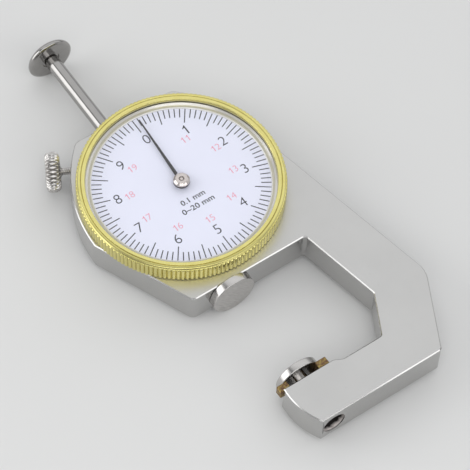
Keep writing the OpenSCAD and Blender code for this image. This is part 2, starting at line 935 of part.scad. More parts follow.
// Snap ring that holds the dial in the bezel
module dial_clip() {
    color("slategray")
        translate([0, 0, clip_top - 0.35])
            difference() {
                cylinder(r = inset_r, h = 0.35, $fn = 128);
                translate([0, 0, -1])
                    cylinder(r = inset_r - 1.2, h = 2, $fn = 128);
            }
}

// Knurled thumb screw with a plain dog point
module lock_screw() {
    r = lock_head_d / 2;
    half = lock_head_t / 2;
    edge = 0.5;
    depth = 0.3;
    collar_r = lock_r + 0.6;
    color("lightgray")
        lock_axis()
            union() {
                translate([0, 0, edge - half])
                    linear_extrude(lock_head_t - 2 * edge)
                        polygon(star(lock_knurl_n, r, r - depth));
                rotate_extrude()
                    polygon([
                        [0, -half],
                        [r - depth - edge, -half],
                        [r - depth - 0.05, edge - half],
                        [r - depth - 0.05, half - edge],
                        [r - depth - edge, half],
                        [collar_r, half],
                        [lock_r, half + 0.3],
                        [lock_r, lock_len - lock_tip_l],
                        [lock_tip_r, lock_len - lock_tip_l + 0.3],
                        [lock_tip_r, lock_len],
                        [0, lock_len]
                    ]);
            }
}

frame();
upper_guide_bush();
lower_guide_bush();
anvil();
anvil_shim();
anvil_screw();
movement_bridge();
bridge_pillars();
bridge_screws();
upper_pivot_bush();
lower_pivot_bush();
hairspring();
hairspring_stud();
return_spring();
spring_anchor_post();
dial_seat_ring();
seat_screws();
bezel_clip();
spindle_rod();
rack_strip();
lifting_cap();
contact_disc();
spring_post();
pinion_arbor();
hairspring_collet();
pointer_hub();
pointer_hand();
bezel();
crystal();
rehaut_ring();
dial_plate();
dial_clip();
lock_screw();
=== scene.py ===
"""Dresses a dial thickness gauge: a satin C-frame, a knurled gilt bezel over a printed dial, a lifting
spindle, an anvil on brass packing and a knurled lock screw, on a plain pale floor."""

import json
from contextlib import contextmanager
from math import cos, pi, radians, sin

import bmesh
import bpy
import numpy as np
from bpy.props import FloatProperty, FloatVectorProperty, IntProperty, PointerProperty
from mathutils import Matrix, Vector


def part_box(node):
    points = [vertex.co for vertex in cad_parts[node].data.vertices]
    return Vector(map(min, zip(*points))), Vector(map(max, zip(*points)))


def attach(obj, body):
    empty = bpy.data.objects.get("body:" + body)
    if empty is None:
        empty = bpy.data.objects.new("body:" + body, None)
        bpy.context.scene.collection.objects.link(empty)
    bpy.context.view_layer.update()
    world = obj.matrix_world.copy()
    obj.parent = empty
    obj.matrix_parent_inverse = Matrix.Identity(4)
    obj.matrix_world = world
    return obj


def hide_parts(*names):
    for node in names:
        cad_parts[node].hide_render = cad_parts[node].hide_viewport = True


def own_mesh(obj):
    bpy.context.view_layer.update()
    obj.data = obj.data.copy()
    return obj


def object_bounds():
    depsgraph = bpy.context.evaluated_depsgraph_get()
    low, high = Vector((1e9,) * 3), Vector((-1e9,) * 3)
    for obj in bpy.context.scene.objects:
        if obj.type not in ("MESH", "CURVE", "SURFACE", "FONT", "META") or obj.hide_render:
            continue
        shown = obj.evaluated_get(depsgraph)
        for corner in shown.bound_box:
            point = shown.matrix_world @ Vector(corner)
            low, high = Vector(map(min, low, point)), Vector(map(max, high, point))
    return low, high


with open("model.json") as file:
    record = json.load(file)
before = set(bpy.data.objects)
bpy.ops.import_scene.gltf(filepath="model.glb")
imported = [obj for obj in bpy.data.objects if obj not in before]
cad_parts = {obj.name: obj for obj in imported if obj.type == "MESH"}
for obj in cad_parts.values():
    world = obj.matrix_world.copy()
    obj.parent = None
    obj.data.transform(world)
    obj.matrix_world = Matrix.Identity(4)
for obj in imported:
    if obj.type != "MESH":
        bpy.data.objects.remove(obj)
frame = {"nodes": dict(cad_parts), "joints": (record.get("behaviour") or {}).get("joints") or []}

CAD_BOX = [list(corner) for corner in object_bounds()]
BOX = {name: np.array([list(corner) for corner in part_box(name)]) for name in frame["nodes"]}
JOINTS = {joint["name"]: joint for joint in frame["joints"]}
MM = 0.001

# Pixels across the picture, and millimetres across the camera's sensor
IMAGE, SENSOR = 470, 36

# Points nearer than this are one, in metres: in a CAD node's copy, a grid, the printing and a profile
CAD_WELD, GRID_WELD, INK_WELD, PROFILE_WELD = 1e-6, 1e-7, 1e-8, 1e-9

# An edge that is broken turns by more than SHARP, and faces that turn by less than LEVEL are one plane
SHARP, LEVEL = radians(30), radians(0.5)

# Ticks and large figures round the dial
DIVISIONS, FIGURES = 100, 10

# Axes that a profile is carried round: two across and one along
UPRIGHT = ((1, 0, 0), (0, 1, 0), (0, 0, 1))
ALONG_Y = ((0, 0, 1), (1, 0, 0), (0, 1, 0))

# Soft square lights that face the dial: place, width and power
LAMPS = {
    "front_window": ((-0.35, -0.55, 0.9), 0.8, 3.2),
    "left_window": ((-0.55, 0.28, 0.26), 0.55, 1.7),
    "low_window": ((0.22, -0.62, 0.33), 0.45, 0.95),
}

bl_info = {
    "name": "Dial thickness gauge",
    "version": (1, 0, 0),
    "blender": (4, 5, 0),
    "location": "3D View > Sidebar > Gauge",
    "description": "Finishes and fine surfaces for a dial thickness gauge around its CAD frame",
    "category": "Object",
}


def count(name, description, default):
    """Number property"""
    return IntProperty(name=name, description=description, default=default)


def length(name, description, millimetres):
    """Length property, its default given in millimetres"""
    metres = millimetres * MM
    return FloatProperty(name=name, description=description, default=metres, unit="LENGTH", precision=5)


def angle(name, description, degrees):
    """Angle property, its default given in degrees"""
    return FloatProperty(name=name, description=description, default=radians(degrees), unit="ROTATION")


def colour(name, description, default):
    """Linear colour property"""
    return FloatVectorProperty(
        name=name, description=description, default=default, size=3, min=0, max=1, subtype="COLOR"
    )


class GaugeSizes(bpy.types.PropertyGroup):
    """Sizes of the fine surfaces and of the printing"""

    edge_break: length("Edge break", "Chamfer along the frame's front and back edges", 0.2)
    small_break: length("Small edge break", "Chamfer along the edges of the packing pieces", 0.12)
    hand_break: length("Pointer edge break", "Chamfer along the edges of the pointer", 0.03)
    bezel_ridges: count("Bezel ridges", "Ridges round the bezel", 145)
    bezel_ridge: length("Bezel ridge height", "Depth of the knurl round the bezel", 0.25)
    lock_ridges: count("Lock ridges", "Ridges round the lock screw's head", 28)
    lock_ridge: length("Lock ridge height", "Depth of the knurl round the lock screw's head", 0.38)
    tick_end: length("Tick circle", "Outer radius of the scale", 17.37)
    tick_short: length("Short tick", "Length of a short tick", 1.98)
    tick_long: length("Long tick", "Length of every fifth tick", 3.2)
    tick_width: length("Tick width", "Width of a tick", 0.2)
    ink: length("Ink", "Thickness of the printing on the dial", 0.012)
    numeral: length("Numeral height", "Height of the large numerals", 2.1)
    second: length("Second turn numeral height", "Height of the small numerals", 1.4)
    legend: length("Legend height", "Height of the legend's numerals", 1.2)


class GaugeColours(bpy.types.PropertyGroup):
    """Colours of the finishes"""

    nickel: colour("Nickel", "Satin frame", (0.61, 0.605, 0.595))
    steel: colour("Steel", "Polished steel", (0.57, 0.555, 0.54))
    spindle: colour("Spindle", "Spindle and lifting cap", (0.41, 0.4, 0.39))
    gilt: colour("Gilt", "Bezel", (0.79, 0.725, 0.295))
    brass: colour("Brass", "Brass of the movement", (0.78, 0.6, 0.28))
    packing: colour("Packing", "Packing pieces under the anvil", (0.34, 0.25, 0.09))
    stain: colour("Stain", "Tarnish on the packing pieces", (0.15, 0.078, 0.042))
    paper: colour("Dial", "Dial plate", (0.85, 0.865, 0.985))
    black: colour("Black ink", "Ticks, numerals and legend", (0.016, 0.016, 0.02))
    red: colour("Red ink", "Numerals of the second turn", (0.82, 0.31, 0.4))
    hand: colour("Pointer", "Pointer", (0.05, 0.048, 0.05))
    floor: colour("Floor", "Floor", (0.7, 0.7, 0.695))


class GaugeView(bpy.types.PropertyGroup):
    """Place of the camera"""

    azimuth: angle("Azimuth", "Turn of the camera round the dial's axis", 36.72)
    elevation: angle("Elevation", "Height of the camera above the dial's plane", 58.69)
    roll: angle("Roll", "Roll of the camera", 2.76)
    aim_x: length("Aim across", "Dial centre to the right of the view's centre", -10.407)
    aim_y: length("Aim down", "Dial centre below the view's centre", -9.993)
    distance: length("Distance", "Camera to the dial centre along the view", 481.8)
    focal: FloatProperty(name="Focal length", description="In pixels of the picture", default=2500)


# Meshes


def eased(outline, steps=4):
    """Profile of an outline whose rows hold a corner's radius and height, and its ease in millimetres. A
    corner is replaced by a quadratic curve, which leaves its first leg an ease before the corner and joins
    its second leg an ease after it, within less than half of either leg. Nought keeps the corner."""
    p, ease = np.split(np.array(outline, float), [2], axis=1)
    back, ahead = np.roll(p, 1, 0) - p, np.roll(p, -1, 0) - p
    spans = [np.linalg.norm(leg, axis=1, keepdims=True) for leg in (back, ahead)]
    back, ahead = [leg / np.maximum(span, PROFILE_WELD) for leg, span in zip((back, ahead), spans)]
    r = np.minimum(ease * MM, 0.45 * np.minimum(*spans))
    start, end = p + r * back, p + r * ahead
    t = np.linspace(0, 1, steps + 1)[None, :, None]
    curve = (1 - t) ** 2 * start[:, None] + 2 * t * (1 - t) * p[:, None] + t**2 * end[:, None]
    curve = curve.reshape(-1, 2)
    fresh = np.linalg.norm(np.diff(curve, axis=0), axis=1) > PROFILE_WELD
    return curve[np.concatenate([[True], fresh])]


def turned(name, profile, steps, basis=UPRIGHT, origin=(0, 0, 0), cut=None, depth=1.0, wrap=False):
    """Mesh of a profile of radius and height carried round an axis: the place at angle t is
    origin + r cos t u + r sin t v + h w, with u, v and w the rows of basis. cut takes the angles as a
    column and the profile's radii and heights as rows, and gives what the radius loses there, as a knurl
    does. The share of depth that is lost stays in the attribute groove. The profile closes on itself
    where wrap is true."""
    t = np.linspace(0, 2 * pi, steps, endpoint=False)[:, None]
    r, h = np.asarray(profile, float).T[:, None, :]
    loss = (cut(t, r, h) if cut else 0) + 0 * (t + r)
    r, h = r - loss, h + 0 * t
    u, v, w = (np.asarray(axis, float) for axis in basis)
    x, y = r * np.cos(t), r * np.sin(t)
    points = np.asarray(origin) + x[..., None] * u + y[..., None] * v + h[..., None] * w
    return grid_mesh(name, points, wrap, loss / depth if cut else None)


def grid_mesh(name, points, wrap, groove=None):
    """Mesh of quads over an array of rows and columns of points. Rows close on themselves, and so do
    columns where wrap is true. Points that coincide, as at a pole, are merged."""
    rows, columns = points.shape[:2]
    i, j = np.meshgrid(np.arange(rows), np.arange(columns if wrap else columns - 1), indexing="ij")
    i1, j1 = (i + 1) % rows, (j + 1) % columns
    quad = [(i, j), (i1, j), (i1, j1), (i, j1)]
    faces = np.stack([row * columns + column for row, column in quad], -1).reshape(-1, 4)
    mesh = bpy.data.meshes.new(name)
    mesh.from_pydata(points.reshape(-1, 3), [], faces)
    if groove is not None:
        mesh.attributes.new("groove", "FLOAT", "POINT").data.foreach_set("value", groove.ravel())
    return tidy_mesh(mesh, GRID_WELD)


@contextmanager
def editing(mesh):
    """Opens a mesh for editing, and puts the result back into it at the end"""
    work = bmesh.new()
    work.from_mesh(mesh)
    yield work
    work.to_mesh(mesh)
    work.free()


def tidy_mesh(mesh, merge, flat=0.0):
    """Merges points that coincide, joins faces that lie within the angle flat of one plane, and turns the
    faces outwards"""
    with editing(mesh) as work:
        bmesh.ops.remove_doubles(work, verts=work.verts, dist=merge)
        if flat:
            bmesh.ops.dissolve_limit(work, angle_limit=flat, verts=work.verts, edges=work.edges)
        bmesh.ops.recalc_face_normals(work, faces=work.faces)
    return mesh


def node_copy(node):
    """Merged copy of a CAD node's mesh, with flat faces in one piece"""
    mesh = frame["nodes"][node].data.copy()
    mesh.name = node + "_dressed"
    return tidy_mesh(mesh, CAD_WELD, LEVEL)


def border_flats(mesh, width):
    """Gives each face across Z that is pieced together, as round a hole, a band of its own along its
    borders, so that an edge break meets only short edges square to it"""
    same_plane, across = 1 - 1e-5, 0.9
    with editing(mesh) as work:
        seen, flats = set(), []
        for start in work.faces:
            group = [start] if start not in seen else []
            for face in group:
                seen.add(face)
                near = {other for edge in face.edges for other in edge.link_faces} - seen
                fresh = [other for other in near if other.normal.dot(start.normal) > same_plane]
                seen.update(fresh)
                group.extend(fresh)
            if len(group) > 1 and abs(start.normal.z) > across:
                flats.append(group)
        for group in flats:
            bmesh.ops.inset_region(
                work, faces=group, thickness=width, use_even_offset=True, use_boundary=True
            )
    return mesh


def break_edges(mesh, width, wanted=None):
    """Chamfer along the sharp edges, or along those of them for which wanted is true. wanted takes the ends
    of all sharp edges as two arrays."""
    with editing(mesh) as work:
        edges = [e for e in work.edges if e.is_manifold and e.calc_face_angle() > SHARP]
        if wanted:
            ends = np.array([[v.co[:] for v in e.verts] for e in edges])
            edges = [e for e, want in zip(edges, wanted(ends[:, 0], ends[:, 1])) if want]
        bmesh.ops.bevel(work, geom=edges, offset=width, segments=1, affect="EDGES", clamp_overlap=False)
    return mesh


def places(mesh):
    """Places of a mesh's points as an array"""
    points = np.empty(len(mesh.vertices) * 3, np.float32)
    mesh.vertices.foreach_get("co", points)
    return points.reshape(-1, 3)


def piece(name, mesh, body, finish, replaced=(), crease=40):
    """Object at the origin that rides on a body, with its finish. Its shading is smooth, and stops at edges
    that turn by more than crease degrees."""
    mesh.polygons.foreach_set("use_smooth", np.ones(len(mesh.polygons), bool))
    mesh.set_sharp_from_angle(angle=radians(crease))
    mesh.materials.clear()
    mesh.materials.append(finish)
    obj = bpy.data.objects.new(name, mesh)
    bpy.context.scene.collection.objects.link(obj)
    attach(obj, body)
    if replaced:
        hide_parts(*replaced)
    return obj


def rod_axis():
    """The spindle's axis in X and Z, from its box"""
    low, high = BOX["spindle_rod"]
    return np.array([(low[0] + high[0]) / 2, 0, (low[2] + high[2]) / 2])


def round_piece(name, outline, body, finish, node):
    """Piece turned round the spindle's axis from an outline, in place of a node"""
    mesh = turned(name, eased(outline, 5), 128, ALONG_Y, rod_axis())
    return piece(name, mesh, body, finish, [node], crease=60)


def finish_node(node, finish):
    """Gives a CAD node that stays in sight its finish"""
    frame["nodes"][node].material_slots[0].material = finish


# Printing


def bars(name, centre, along, across, half_length, half_width, low, high):
    """Mesh of flat bars between two heights. Each has its centre, its unit directions and its half length,
    all as arrays."""
    corner = np.array([[-1, -1], [1, -1], [1, 1], [-1, 1]], float)
    plan = (
        centre[:, None]
        + corner[None, :, :1] * half_length[:, None, None] * along[:, None]
        + corner[None, :, 1:] * half_width * across[:, None]
    )
    levels = [np.concatenate([plan, np.full(plan.shape[:2] + (1,), z)], -1) for z in (low, high)]
    points = np.concatenate(levels, 1)
    side = np.array([[0, 3, 2, 1], [4, 5, 6, 7], [0, 1, 5, 4], [1, 2, 6, 5], [2, 3, 7, 6], [3, 0, 4, 7]])
    faces = (side[None] + 8 * np.arange(len(points))[:, None, None]).reshape(-1, 4)
    mesh = bpy.data.meshes.new(name)
    mesh.from_pydata(points.reshape(-1, 3), [], faces)
    return tidy_mesh(mesh, INK_WELD)


def word_mesh(name, text, bold):
    """Mesh of flat text in the built-in letters, with bold added to their strokes"""
    curve = bpy.data.curves.new(name, "FONT")
    curve.body = text
    curve.resolution_u = 6
    curve.offset = bold
    obj = bpy.data.objects.new(name, curve)
    bpy.context.scene.collection.objects.link(obj)
    bpy.context.view_layer.update()
    mesh = bpy.data.meshes.new_from_object(obj.evaluated_get(bpy.context.evaluated_depsgraph_get()))
    bpy.data.objects.remove(obj)
    bpy.data.curves.remove(curve)
    return mesh


def figure_one(name):
    """Mesh of a figure one of unit height: an upright stroke with a slanting flag"""
    stroke = [(0.15, 0), (0.28, 0), (0.28, 1), (0.195, 1)]
    flag = [(0.1, 0.88), (-0.06, 0.79), (-0.06, 0.665), (0.15, 0.76)]
    mesh = bpy.data.meshes.new(name)
    mesh.from_pydata([(x, y, 0) for x, y in stroke + flag], [], [(0, 1, 2, 3, 7), (3, 4, 5, 6, 7)])
    return mesh


def fit(mesh, x, y, z, height, width=0):
    """Puts the middle of a flat mesh at a place, at a height and a width, or nought for the width that goes
    with the height"""
    points = places(mesh)
    low, high = points.min(0), points.max(0)
    tall = height / (high[1] - low[1])
    wide = width / (high[0] - low[0]) if width else tall
    middle = Vector((low + high).tolist()) / 2
    scale = Matrix.Diagonal((wide, tall, 1, 1))
    mesh.transform(Matrix.Translation((x, y, z)) @ scale @ Matrix.Translation(-middle))
    return mesh


def printing(name, parts, thick):
    """One mesh of flat meshes, raised by the thickness of the ink"""
    out = bpy.data.meshes.new(name)
    with editing(out) as work:
        for mesh in parts:
            work.from_mesh(mesh)
            bpy.data.meshes.remove(mesh)
        bmesh.ops.remove_doubles(work, verts=work.verts, dist=INK_WELD)
        raised = bmesh.ops.extrude_face_region(work, geom=list(work.faces), use_keep_orig=True)["geom"]
        top = [part for part in raised if isinstance(part, bmesh.types.BMVert)]
        bmesh.ops.translate(work, verts=top, vec=(0, 0, thick))
        bmesh.ops.recalc_face_normals(work, faces=work.faces)
    return out


def round_dial(numbers, wide, tall, right=0, up=0):
    """Numbers with their places round the dial. Each unit is a tenth of a turn along an ellipse, which has
    half axes wide and tall and is moved by right and up."""
    unit = 2 * pi / FIGURES
    return [(k, wide * sin(k * unit) + right, tall * cos(k * unit) + up) for k in numbers]


def numerals(name, numbers, level, height, thick):
    """Printed numbers, each with the place of its middle, in thin figures set one by one at one pitch"""
    parts, pitch, thin = [], 0.78 * height, -0.011
    for number, x, y in numbers:
        text = str(number)
        for k, figure in enumerate(text):
            mesh = figure_one(name) if figure == "1" else word_mesh(name, figure, thin)
            parts.append(fit(mesh, x + (k - (len(text) - 1) / 2) * pitch, y, level, height))
    return printing(name, parts, thick)


# Finishes


class Value:
    """A shader socket that takes part in sums: each operator adds a Math node"""

    def __init__(self, socket):
        self.socket = socket

    def math(self, operation, first, second):
        """Adds a Math node for an operation on two values"""
        node = self.socket.id_data.nodes.new("ShaderNodeMath")
        node.operation = operation
        for place, value in zip(node.inputs, (first, second)):
            join(place, value)
        return Value(node.outputs[0])

    def __add__(self, other):
        return self.math("ADD", self, other)

    def __sub__(self, other):
        return self.math("SUBTRACT", self, other)

    def __rsub__(self, other):
        return self.math("SUBTRACT", other, self)

    def __mul__(self, other):
        return self.math("MULTIPLY", self, other)

    def __pow__(self, other):
        return self.math("POWER", self, other)

    __radd__, __rmul__ = __add__, __mul__


def join(socket, value):
    """Links a Value to a socket, or sets the socket to a plain number or colour"""
    if isinstance(value, Value):
        socket.id_data.links.new(value.socket, socket)
    elif hasattr(socket.default_value, "__len__") and len(socket.default_value) == 4:
        socket.default_value = (*value[:3], 1)
    else:
        socket.default_value = value


def tint(shade, *factors):
    """A colour times one factor, or times a factor for each of its three parts"""
    return [c * k for c, k in zip(shade, factors * (3 // len(factors)))]


class Finish:
    """A material or world in the making, with a method that adds any node"""

    def __init__(self, name, made=bpy.data.materials, place="Object"):
        self.owner = made.new(name)
        self.owner.use_nodes = True
        self.tree = self.owner.node_tree
        self.tree.nodes.clear()
        self.place = self.node("TexCoord", output=place)

    def node(self, kind, settings=(), output=0, at=(), **inputs):
        """Adds a shader node of a kind, sets its settings, then its sockets: those in at by number, and the
        others by name, with spaces as underscores. It gives the node's output, where there is one."""
        node = self.tree.nodes.new("ShaderNode" + kind)
        for key, value in dict(settings).items():
            setattr(node, key, value)
        for number, value in dict(at).items():
            join(node.inputs[number], value)
        for key, value in inputs.items():
            join(node.inputs[key.replace("_", " ")], value)
        return Value(node.outputs[output]) if node.outputs else None

    def noise(self, size, detail=2, stretch=(1, 1, 1), turn=(0, 0, 0), roughness=0.5):
        """Noise from nought to one whose grain has a size in millimetres, longer along each turned axis by
        its stretch"""
        scaled = self.node(
            "Mapping",
            {"vector_type": "TEXTURE"},
            Vector=self.place,
            Scale=[size * MM * s for s in stretch],
            Rotation=turn,
        )
        return self.node("TexNoise", Vector=scaled, Scale=1, Detail=detail, Roughness=roughness)

    def ramp(self, factor, low, high):
        """Straight rise from nought at low to one at high, clamped"""
        return self.node("MapRange", {"clamp": True}, Value=factor, From_Min=low, From_Max=high)

    def band(self, factor, low, high, soft):
        """One between low and high, falling to nought over soft on either side"""
        return self.ramp(factor, low - soft, low) * (1 - self.ramp(factor, high, high + soft))

    def blend(self, factor, first, second):
        """Colour between two, by a factor"""
        return self.node("Mix", {"data_type": "RGBA"}, 2, {0: factor, 6: first, 7: second})

    def layers(self, factor, first, second):
        """Shader between two, by a factor"""
        return self.node("MixShader", at={0: factor, 1: first, 2: second})

    def parts(self, vector):
        """The three parts of a vector"""
        return [self.node("SeparateXYZ", output=k, Vector=vector) for k in "XYZ"]

    def facing(self, part):
        """How squarely a surface faces along X, Y or Z: the square of that part of its normal"""
        along = self.parts(self.node("TexCoord", output="Normal"))[part]
        return along * along

    def far(self, axis=(0, 0, 1), origin=(0, 0, 0)):
        """Distance from a line through origin along X, Y or Z. The line is the dial's axis unless given."""
        gone = [p - o for p, o, a in zip(self.parts(self.place), origin, axis) if not a]
        return (gone[0] * gone[0] + gone[1] * gone[1]) ** 0.5

    def rings(self, pitch, *line):
        """Turning marks at a pitch in millimetres: noise along the distance from a line, nought to one"""
        steps = self.node("CombineXYZ", X=self.far(*line) * (1 / (pitch * MM)))
        return self.node("TexNoise", Vector=steps, Scale=1, Detail=2)

    def groove(self):
        """Share of a knurl's depth, nought on the ridges and one in the grooves"""
        return self.node("Attribute", {"attribute_name": "groove"}, output="Fac")

    def bump(self, height, depth, strength):
        """Normal bent by a height from nought to one over a depth in millimetres"""
        sockets = {"Height": height, "Distance": depth * MM, "Strength": strength}
        return self.node("Bump", output="Normal", **sockets)

    def surface(self, **sockets):
        """Ends the material in a Principled shader"""
        return self.end(self.node("BsdfPrincipled", output="BSDF", **sockets))

    def end(self, shader, kind="OutputMaterial"):
        """Ends the tree in its output"""
        self.node(kind, at={0: shader})
        return self.owner


def arm_hole(f):
    """Mask and colour of the wall of the arm's drilled hole: a painted highlight in its mouth and painted
    shade further in, by the depth from the mouth, with noise along the edge between the two"""
    mouth, radius = BOX["frame"][0][1], 2.45 * MM
    depth = f.parts(f.place)[1]
    within = 1 - f.ramp(f.far((0, 1, 0), rod_axis()), radius, radius + 0.03 * MM)
    wall = within * f.band(depth, mouth + 0.25 * MM, mouth + 4.4 * MM, 0.1 * MM)
    patch = 0.9 * MM * f.noise(0.8, 2)
    # painted shade that deepens further into the hole; the pale colour is a painted highlight at its mouth
    inner = f.ramp(depth + patch, mouth + 0.75 * MM, mouth + 1.45 * MM)
    return wall, f.blend(inner, (0.95, 0.88, 0.85), (0.02, 0.016, 0.015))


def satin_nickel(colours):
    """Plating that is satin on the flat faces and polished on the sides: fine blasted grain and soft clouds
    of shade on the flats, and faint dark freckles. The hole in the arm has a painted highlight and painted
    shade."""
    f = Finish("satin_nickel")
    grain, cloud = f.noise(0.16, 3), f.noise(9, 2)
    streak = f.noise(0.14, 3, (14, 14, 1))
    flat = f.ramp(f.facing(2), 0.35, 0.9)
    freckle = f.ramp(f.noise(0.7, 1), 0.7, 0.78)
    shade = f.blend(f.ramp(cloud, 0.3, 0.7), tint(colours.nickel, 0.95), colours.nickel)
    shade = f.blend(flat, tint(colours.nickel, 0.84), shade)
    shade = f.blend(freckle * 0.05, shade, (0.3, 0.28, 0.25))
    hole, painted_hole_shading = arm_hole(f)
    satin = flat * (0.16 + 0.1 * grain + 0.06 * cloud)
    return f.surface(
        Base_Color=f.blend(hole, shade, painted_hole_shading),
        Metallic=1 - 0.75 * hole,
        Roughness=0.13 + 0.07 * streak + satin + 0.12 * hole,
        Normal=f.bump(flat * grain + (1 - flat) * streak, 0.012, 0.5),
    )


def polished_steel(name, metal, gloss):
    """Turned and polished steel: rings of turning marks round the spindle's axis under a fine haze"""
    f = Finish(name)
    marks, haze = f.rings(0.09, (0, 1, 0), rod_axis()), f.noise(1.8, 3)
    return f.surface(
        Base_Color=f.blend(f.ramp(haze, 0.25, 0.75), tint(metal, 0.9), metal),
        Metallic=1.0,
        Roughness=gloss + 0.08 * marks + 0.05 * haze,
        Normal=f.bump(marks, 0.004, 0.5),
    )


def ground_steel(colours):
    """Contact faces: slanting grinding lines on the faces across Y, and a polished rim round them"""
    f = Finish("ground_steel")
    line, haze = f.noise(0.12, 2, (16, 1, 1), (0, radians(50), 0)), f.noise(1.6, 3)
    face = f.ramp(f.facing(1), 0.5, 0.9)
    shade = f.blend(f.ramp(haze, 0.3, 0.7), colours.steel, tint(colours.steel, 1.08))
    shade = f.blend(face * f.ramp(line, 0.35, 0.7) * 0.7, shade, tint(colours.steel, 0.7))
    return f.surface(
        Base_Color=shade,
        Metallic=1.0,
        Roughness=0.2 + 0.06 * haze + face * 0.14 * line,
        Normal=f.bump(face * line, 0.01, 0.7),
    )


def knurled_steel(colours):
    """Polished steel with painted shade in the grooves of its knurl and its thread"""
    f = Finish("knurled_steel")
    haze = f.noise(0.9, 3)
    # painted shade in the knurl's and the thread's grooves
    painted_groove_shade = f.ramp(f.groove(), 0.42, 1)
    shade = f.blend(f.ramp(haze, 0.25, 0.75), colours.steel, tint(colours.steel, 1.3))
    return f.surface(
        Base_Color=f.blend(painted_groove_shade, shade, (0.07, 0.055, 0.045)),
        Metallic=1 - 0.35 * painted_groove_shade,
        Roughness=0.12 + 0.1 * haze + 0.25 * painted_groove_shade,
        Normal=f.bump(haze, 0.01, 0.3),
    )


def hub_steel(top):
    """Pointer boss: a warm polished face at the height top, painted shade in the ring sunk round the
    arbor's end, and a dark turned wall further down"""
    f = Finish("hub_steel")
    height, marks = f.parts(f.place)[2], f.rings(0.06)
    # painted shade in the groove sunk round the arbor's end
    ring = f.band(f.far(), 0.34 * MM, 0.5 * MM, 0.06 * MM)
    wall = 1 - f.ramp(height, top - 0.62 * MM, top - 0.5 * MM)
    shade = f.blend(marks, (0.6, 0.54, 0.5), (0.72, 0.66, 0.62))
    shade = f.blend(ring * 0.7, shade, (0.16, 0.13, 0.12))
    return f.surface(
        Base_Color=f.blend(wall, shade, (0.035, 0.032, 0.035)),
        Metallic=1 - 0.4 * wall,
        Roughness=0.1 + 0.06 * marks + 0.2 * wall,
        Normal=f.bump(marks, 0.003, 0.5),
    )


def wall_steel(inner):
    """Pale ring round the dial: a painted highlight on the lip at the radius inner, then an olive band of
    painted reflection of the gilt bezel, then a warm wall
    """
    f = Finish("wall_steel")
    far, haze = f.far(), f.noise(1.2, 2)
    # painted highlight along the ring's inner edge
    lip = f.band(far, inner, inner + 0.13 * MM, 0.05 * MM)
    # olive band of painted reflection of the gilt bezel
    painted_bezel_reflection = f.band(far, inner + 0.28 * MM, inner + 0.64 * MM, 0.1 * MM)
    shade = f.blend(haze, (0.7, 0.68, 0.61), (0.77, 0.75, 0.69))
    shade = f.blend(painted_bezel_reflection * 0.6, shade, (0.42, 0.39, 0.23))
    return f.surface(
        Base_Color=f.blend(lip, shade, (0.8, 0.79, 0.75)),
        Metallic=0.4 - 0.2 * lip,
        Roughness=0.15 + 0.1 * haze,
    )


def gold_brass(colours, land):
    """Gilt brass: bright, with turning marks round the dial's axis, a deeper shade in the clouds, and
    painted shade in the knurl's grooves and in the turned groove at the radius land"""
    f = Finish("gold_brass")
    marks, haze = f.rings(0.07), f.noise(2.4, 3)
    # painted shade in the turned groove at the radius land
    line = f.band(f.far(), land + 0.05 * MM, land + 0.15 * MM, 0.03 * MM)
    # painted shade in the knurl's grooves
    painted_groove_shade = f.ramp(f.groove(), 0.5, 1) * 0.4
    shade = f.blend(f.ramp(haze, 0.3, 0.75), tint(colours.gilt, 0.93, 0.91, 0.8), colours.gilt)
    shade = f.blend(line * 0.35, shade, (0.2, 0.16, 0.03))
    return f.surface(
        Base_Color=f.blend(painted_groove_shade, shade, (0.1, 0.075, 0.015)),
        Metallic=1.0,
        Roughness=0.13 + 0.08 * marks + 0.05 * haze + 0.15 * painted_groove_shade,
        Normal=f.bump(marks, 0.004, 0.5),
    )


def stained_brass(colours):
    """Brass packing gone brown: tarnish in patches, and file marks across it"""
    f = Finish("stained_brass")
    patch, cut = f.noise(0.5, 4, roughness=0.65), f.noise(0.12, 2, (1, 1, 12))
    stain = f.ramp(patch, 0.42, 0.58)
    return f.surface(
        Base_Color=f.blend(stain, colours.packing, colours.stain),
        Metallic=1 - 0.6 * stain,
        Roughness=0.34 + 0.25 * stain,
        Normal=f.bump(cut, 0.03, 0.7),
    )


def plain_metal(name, shade, gloss):
    """Metal of the hidden pieces: fine drawn lines and a light haze"""
    f = Finish(name)
    line, haze = f.noise(0.1, 2, (1, 8, 1)), f.noise(1.5, 2)
    return f.surface(
        Base_Color=f.blend(haze, tint(shade, 0.85), shade),
        Metallic=1.0,
        Roughness=gloss + 0.12 * line,
        Normal=f.bump(line, 0.006, 0.5),
    )


def dial_white(colours):
    """Sprayed dial: a fine orange-peel under a thin clear coat"""
    f = Finish("dial_white")
    peel, cloud = f.noise(0.35, 2), f.noise(7, 2)
    return f.surface(
        Base_Color=f.blend(f.ramp(cloud, 0.3, 0.7), tint(colours.paper, 0.985), colours.paper),
        Roughness=0.42 + 0.08 * peel,
        Coat_Weight=0.15,
        Normal=f.bump(peel, 0.004, 0.3),
    )


def ink(name, shade):
    """Screen-printed ink, slightly uneven"""
    f = Finish(name)
    spread = f.noise(0.12, 2)
    thin = [min(1, c) for c in tint(shade, 1.8)]
    return f.surface(Base_Color=f.blend(spread * 0.35, shade, thin), Roughness=0.45 + 0.1 * spread)


def pointer_dark(colours):
    """Blackened pointer with a soft gloss"""
    f = Finish("pointer_dark")
    grain = f.noise(0.2, 2)
    shade = f.blend(grain, tint(colours.hand, 0.8), colours.hand)
    return f.surface(Base_Color=shade, Metallic=0.4, Roughness=0.32 + 0.1 * grain)


